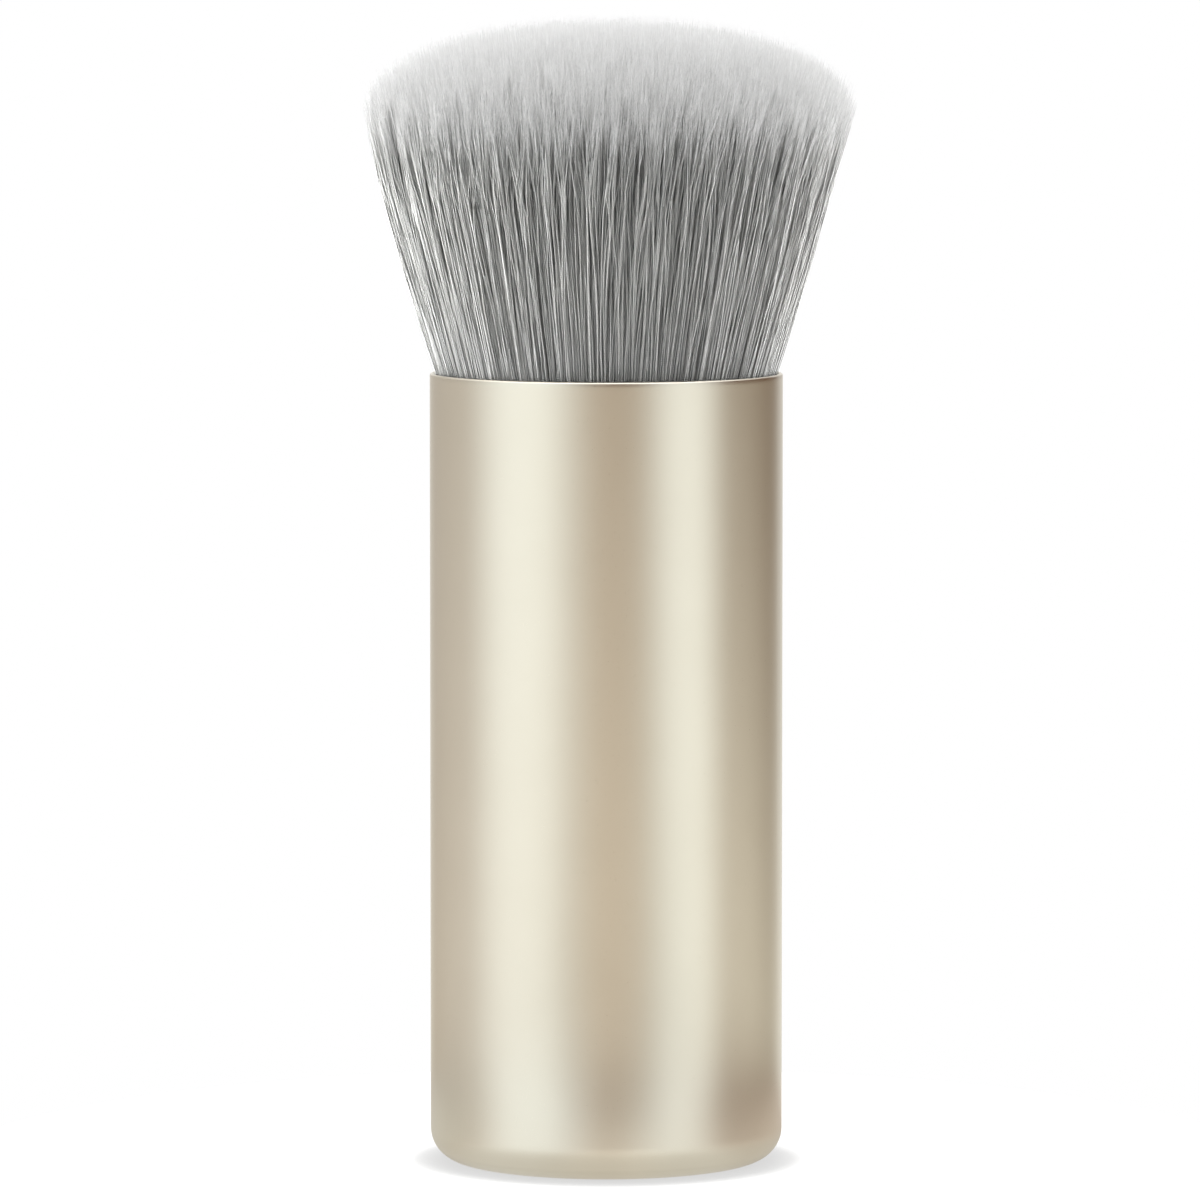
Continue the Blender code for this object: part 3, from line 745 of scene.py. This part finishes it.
def strand_lines(index, stations, rng):
    """Centre lines of the strands with these numbers: an array of strands by stations by XYZ."""
    count = len(index)
    share = np.sqrt((index + rng.uniform(*PLACE_SPREAD, count)) / STRAND_COUNT)
    turn = index * math.pi * GOLDEN_SHARE + rng.normal(0, TURN_JITTER, count) / np.sqrt(index + 1)
    tip = dome_height(share) + FRONT_DIP * share * np.sin(turn)
    tip += rng.normal(0, TIP_JITTER, count) - np.abs(rng.normal(0, 2 * TIP_JITTER, count))
    tip -= (rng.random(count) < SHORT_SHARE) * rng.uniform(0, SHORT_MOST, count)
    height = ROOT_HEIGHT + (tip - ROOT_HEIGHT)[:, None] * stations
    radius = share[:, None] * head_radius(height)
    spots = np.stack(np.broadcast_arrays(turn[:, None], share[:, None] * mouth_radius, height), -1)
    free = smooth_step(ROOT_HEIGHT, ROOT_HEIGHT + LOOSE_FROM, height)
    lock_rng = np.random.default_rng(LOCK_SEED)
    aside = np.zeros_like(height)
    out = np.zeros_like(height)
    gathered = free * (1 + TIP_GATHER * smooth_step(-GATHER_LENGTH, 0, height - tip[:, None]))
    for width, depth, length, sideways, outwards in LOCKS:
        aside += gathered * lock_drift(lock_rng, spots, width, depth, length, sideways)
        out += gathered * lock_drift(lock_rng, spots, width, depth, length, outwards)
    bow = rng.normal(0, OWN_BOW, (2, count, 1)) * np.sin(math.pi * stations)
    pace = math.tau / (OWN_WAVE_LENGTH * rng.uniform(*OWN_WAVE_SPREAD, (2, count, 1)))
    start = rng.uniform(0, math.tau, (2, count, 1))
    bow += rng.normal(0, OWN_WAVE, (2, count, 1)) * free * np.sin(pace * height + start)
    lean = rng.normal(0, OWN_LEAN, (2, count, 1)) * stations
    stray = (rng.random(count) < STRAY_SHARE) * rng.normal(0, STRAY_LEAN, count)
    stray = np.clip(stray, -STRAY_MOST, STRAY_MOST)
    aside += bow[0] + lean[0] + stray[:, None] * (STRAY_CROSSING - stations)
    out += bow[1] + lean[1]
    out = np.minimum(out, (1 - share)[:, None] * radius + LOOSE_EDGE)
    x = (radius + out) * np.cos(turn)[:, None] - aside * np.sin(turn)[:, None]
    x += LEAN * smooth_step(LEAN_FROM, LEAN_TO, height)
    y = (radius + out) * np.sin(turn)[:, None] + aside * np.cos(turn)[:, None]
    return np.stack((x, y, height), -1)


def strand_stations(length, bends):
    """Shares of a strand's length at which it has a ring, evenly up to its taper, and its tip."""
    even = np.linspace(0, 1, bends)[None, :] * (1 - TAPER / length)[:, None]
    return np.concatenate((even, np.ones((len(length), 1))), 1)


def strand_points(centre, rng):
    """The strands' points: a ring of corners round each station of the centre line, and the tip."""
    count = len(centre)
    along = centre[:, -1] - centre[:, 0]
    along /= np.linalg.norm(along, axis=1, keepdims=True)
    side = np.cross(along, (0.0, 0.0, 1.0)) + np.array((PLUMB_NUDGE, 0, 0))
    side /= np.linalg.norm(side, axis=1, keepdims=True)
    other = np.cross(along, side)
    corner_turns = np.arange(STRAND_SIDES) * math.tau / STRAND_SIDES
    angle = rng.uniform(0, math.tau, count)[:, None] + corner_turns
    spoke = np.cos(angle)[:, :, None] * side[:, None] + np.sin(angle)[:, :, None] * other[:, None]
    thick = STRAND_RADIUS * rng.uniform(*THICKNESS_SPREAD, count)
    rings = centre[:, :-1, None] + thick[:, None, None, None] * spoke[:, None]
    return np.concatenate((rings.reshape(count, -1, 3), centre[:, -1:]), 1)


def strand_faces(rings):
    """One strand's faces, by its points' numbers: from ring to ring, and from the last to the tip."""
    tip = rings * STRAND_SIDES
    faces = []
    for ring in range(rings):
        low = ring * STRAND_SIDES
        high = low + STRAND_SIDES
        for this in range(STRAND_SIDES):
            following = (this + 1) % STRAND_SIDES
            if high < tip:
                faces.append((low + this, low + following, high + following, high + this))
            else:
                faces.append((low + this, low + following, tip))
    return faces


def colour_places(stations, length, rng):
    """Where each point of the strands reads the filament's colour map: its own column, up to the tip."""
    rings = stations.shape[1] - 1
    column = rng.integers(0, COLOUR_COLUMNS, len(stations))
    spot = np.append(np.tile(CORNER_SPOTS, rings), TIP_SPOT)
    across = (column[:, None] + spot[None, :]) / COLOUR_COLUMNS
    up = 1 - (1 - stations) * (length / COLOUR_REACH)[:, None]
    up = np.concatenate((np.repeat(up[:, :rings], STRAND_SIDES, 1), up[:, rings:]), 1)
    return np.stack((across, up), -1)


def add_tufts(name, node, first, after, bends, rng):
    """One mesh of strands from numbers first to after: three-sided rods drawn out to a point."""
    index = np.arange(first, after)
    share = np.sqrt((index + 0.5) / STRAND_COUNT)
    length = dome_height(share) - ROOT_HEIGHT
    stations = strand_stations(length, bends)
    points = strand_points(strand_lines(index, stations, rng), rng)
    count, per_strand = points.shape[:2]
    faces = strand_faces(bends)
    sizes = [len(face) for face in faces]
    corners = np.concatenate(faces)
    loops = corners[None, :] + per_strand * np.arange(count)[:, None]
    starts = np.concatenate(([0], np.cumsum(np.tile(sizes, count))[:-1]))
    mesh = bpy.data.meshes.new(name)
    mesh.vertices.add(count * per_strand)
    mesh.vertices.foreach_set("co", points.astype(np.float32).ravel())
    mesh.loops.add(loops.size)
    mesh.loops.foreach_set("vertex_index", loops.astype(np.int32).ravel())
    mesh.polygons.add(len(starts))
    mesh.polygons.foreach_set("loop_start", starts.astype(np.int32))
    mesh.update(calc_edges=True)
    places = colour_places(stations, length, rng)[:, corners]
    layer = mesh.uv_layers.new(name="OFBake")
    layer.data.foreach_set("uv", places.astype(np.float32).ravel())
    mesh.shade_smooth()
    mesh.validate()
    made = bpy.data.objects.new(name, mesh)
    bpy.context.scene.collection.objects.link(made)
    mesh.materials.append(filament_material)
    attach(made, "root")
    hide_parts(node)


def add_floor():
    """The pale floor, with a painted contact shadow where the brush stands. For reflected rays it glows with
    painted light, which the polish mirrors.
    """
    form = bmesh.new()
    bmesh.ops.create_circle(form, cap_ends=True, segments=FLOOR_SEGMENTS, radius=FLOOR_RADIUS)
    mesh = bpy.data.meshes.new("floor")
    form.to_mesh(mesh)
    form.free()
    floor = bpy.data.objects.new("floor", mesh)
    floor.location.z = -FLOOR_DROP
    bpy.context.scene.collection.objects.link(floor)
    made, tree, shader = new_material("pale_floor")
    path = add_node(tree, "ShaderNodeLightPath")
    mirrored = path.outputs["Is Glossy Ray"]
    shader.inputs["Roughness"].default_value = 1.0
    near = add_node(tree, "ShaderNodeAmbientOcclusion", {"samples": 3}, Distance=CONTACT_REACH)
    opened = add_node(
        tree,
        "ShaderNodeMapRange",
        Value=near.outputs["AO"],
        From_Min=CONTACT_CLOSED,
        From_Max=CONTACT_OPEN,
    ).outputs["Result"]
    # Painted contact shadow: the floor's colour darkens where something near closes it in
    pale = blend(tree, opened, FLOOR_IN_PAINTED_SHADOW, PALE_FLOOR)
    black = (0, 0, 0, 1)
    feed(tree, shader.inputs["Base Color"], blend(tree, mirrored, pale, black))
    # Painted contact shadow: the camera-only glow drops beside the brush
    lift = calc(tree, "MULTIPLY_ADD", opened, FLOOR_LIFT - CONTACT_LIFT, CONTACT_LIFT)
    lift = calc(tree, "MULTIPLY", lift, path.outputs["Is Camera Ray"])
    place = add_node(tree, "ShaderNodeTexCoord").outputs["Object"]
    # Painted reflection: the glow that reflected rays see on the floor, dimmer beside the brush
    seen = lit_round(tree, place, FLOOR_FILL, FLOOR_LIGHTS)
    distance = add_node(tree, "ShaderNodeVectorMath", {"operation": "LENGTH"})
    feed(tree, distance.inputs[0], place)
    away = add_node(
        tree,
        "ShaderNodeMapRange",
        {"interpolation_type": "SMOOTHSTEP"},
        Value=distance.outputs["Value"],
        From_Min=NEAR_BRUSH,
        From_Max=PAST_BRUSH,
        To_Min=LIGHTS_NEAR_BRUSH,
    )
    seen = blend(tree, away.outputs["Result"], FLOOR_AT_BRUSH, seen)
    feed(tree, shader.inputs["Emission Color"], blend(tree, mirrored, lift, seen))
    shader.inputs["Emission Strength"].default_value = 1.0
    mesh.materials.append(made)


def add_camera():
    """The photograph's camera: a little above the head, looking down on the brush."""
    data = bpy.data.cameras.new("camera")
    camera = bpy.data.objects.new("camera", data)
    bpy.context.scene.collection.objects.link(camera)
    aim = Vector((AXIS_OFFSET, 0, AIM_HEIGHT))
    camera.location = (AXIS_OFFSET, -CAMERA_DISTANCE, CAMERA_HEIGHT)
    look = aim - camera.location
    camera.rotation_euler = look.to_track_quat("-Z", "Y").to_euler()
    data.sensor_width = SENSOR_WIDTH
    data.lens = SENSOR_WIDTH * look.length / PICTURE_WIDTH_AT_BRUSH
    data.clip_start = NEAREST_SEEN
    data.clip_end = FARTHEST_SEEN
    bpy.context.scene.camera = camera


def softbox_effect():
    """How fully a softbox lights a direction: 1 across its face, and none past its soft edge."""
    group, given, result = new_group(
        "softbox",
        {"Direction": "vector", "Towards": "vector", "Full Angle": "value", "End Angle": "value"},
        {"Share": "value"},
    )
    flat = vector_calc(group, "MULTIPLY", given["Direction"], (1, 1, 0))
    level = vector_calc(group, "NORMALIZE", flat)
    match = add_node(group, "ShaderNodeVectorMath", {"operation": "DOT_PRODUCT"})
    feed(group, match.inputs[0], level)
    feed(group, match.inputs[1], given["Towards"])
    share = add_node(
        group,
        "ShaderNodeMapRange",
        {"interpolation_type": "SMOOTHSTEP"},
        Value=calc(group, "ARCCOSINE", match.outputs["Value"]),
        From_Min=given["End Angle"],
        From_Max=given["Full Angle"],
    )
    feed(group, result["Share"], share.outputs["Result"])
    return group


def lit_round(tree, direction, fill, lights):
    """The colour that a ring of lights has in a direction."""
    light = fill
    for turn, half, edge, colour in lights.values():
        angle = math.radians(turn)
        box = place_group(
            tree,
            softbox,
            Direction=direction,
            Towards=(math.sin(angle), -math.cos(angle), 0),
            Full_Angle=math.radians(half),
            End_Angle=math.radians(half + edge),
        )
        part = add_node(tree, "ShaderNodeVectorMath", {"operation": "SCALE"}, Scale=box["Share"])
        part.inputs[0].default_value = colour
        light = vector_calc(tree, "ADD", light, part.outputs["Vector"])
    return light


def under_ceiling(tree, direction, light, brightness, forward, leftward, start, full):
    """The light of a ring of lights with a bright ceiling above it."""
    rise = add_node(tree, "ShaderNodeVectorMath", {"operation": "DOT_PRODUCT"})
    feed(tree, rise.inputs[0], direction)
    rise.inputs[1].default_value = Vector((-leftward, -forward, 1)).normalized()
    overhead = add_node(
        tree,
        "ShaderNodeMapRange",
        {"interpolation_type": "SMOOTHSTEP"},
        Value=rise.outputs["Value"],
        From_Min=start,
        From_Max=full,
    )
    return blend(tree, overhead.outputs["Result"], light, (*[brightness] * 3, 1))


def add_studio():
    """A soft white studio: lights round the brush, a bright ceiling, and white where the camera looks."""
    world = bpy.data.worlds.new("studio")
    bpy.context.scene.world = world
    world.use_nodes = True
    world.cycles.sampling_method = "NONE"
    tree = world.node_tree
    tree.nodes.clear()
    direction = add_node(tree, "ShaderNodeTexCoord").outputs["Generated"]
    height = add_node(tree, "ShaderNodeSeparateXYZ", Vector=direction).outputs["Z"]
    high = lit_round(tree, direction, HIGH_FILL, HIGH_LIGHTS)
    low = lit_round(tree, direction, LOW_FILL, LOW_LIGHTS)
    above = add_node(
        tree,
        "ShaderNodeMapRange",
        {"interpolation_type": "SMOOTHSTEP"},
        Value=height,
        From_Min=math.sin(math.radians(TABLE_LEVEL - TABLE_EDGE)),
        From_Max=math.sin(math.radians(TABLE_LEVEL + TABLE_EDGE)),
    )
    mirrored = blend(tree, above.outputs["Result"], low, high)
    mirrored = under_ceiling(tree, direction, mirrored, **POLISH_CEILING)
    soft = lit_round(tree, direction, SOFT_FILL, SOFT_LIGHTS)
    soft = under_ceiling(tree, direction, soft, **SOFT_CEILING)
    path = add_node(tree, "ShaderNodeLightPath")
    light = blend(tree, path.outputs["Is Glossy Ray"], soft, mirrored)
    light = blend(tree, path.outputs["Is Camera Ray"], light, BACKDROP)
    background = add_node(tree, "ShaderNodeBackground", Color=light, Strength=1.0)
    add_node(tree, "ShaderNodeOutputWorld", Surface=background.outputs["Background"])


fine_grain = grain_effect()
tone_drift = tone_effect()
edge_wear = wear_effect()
softbox = softbox_effect()
filament_material = filament()
add_handle()
finish_inner_pieces()
strand_rng = np.random.default_rng(STRAND_SEED)
for tuft, node, start, stop, bends in TUFTS:
    add_tufts(tuft, node, int(start * STRAND_COUNT), int(stop * STRAND_COUNT), bends, strand_rng)
add_floor()
add_camera()
add_studio()
bpy.context.scene.view_settings.view_transform = "Standard"
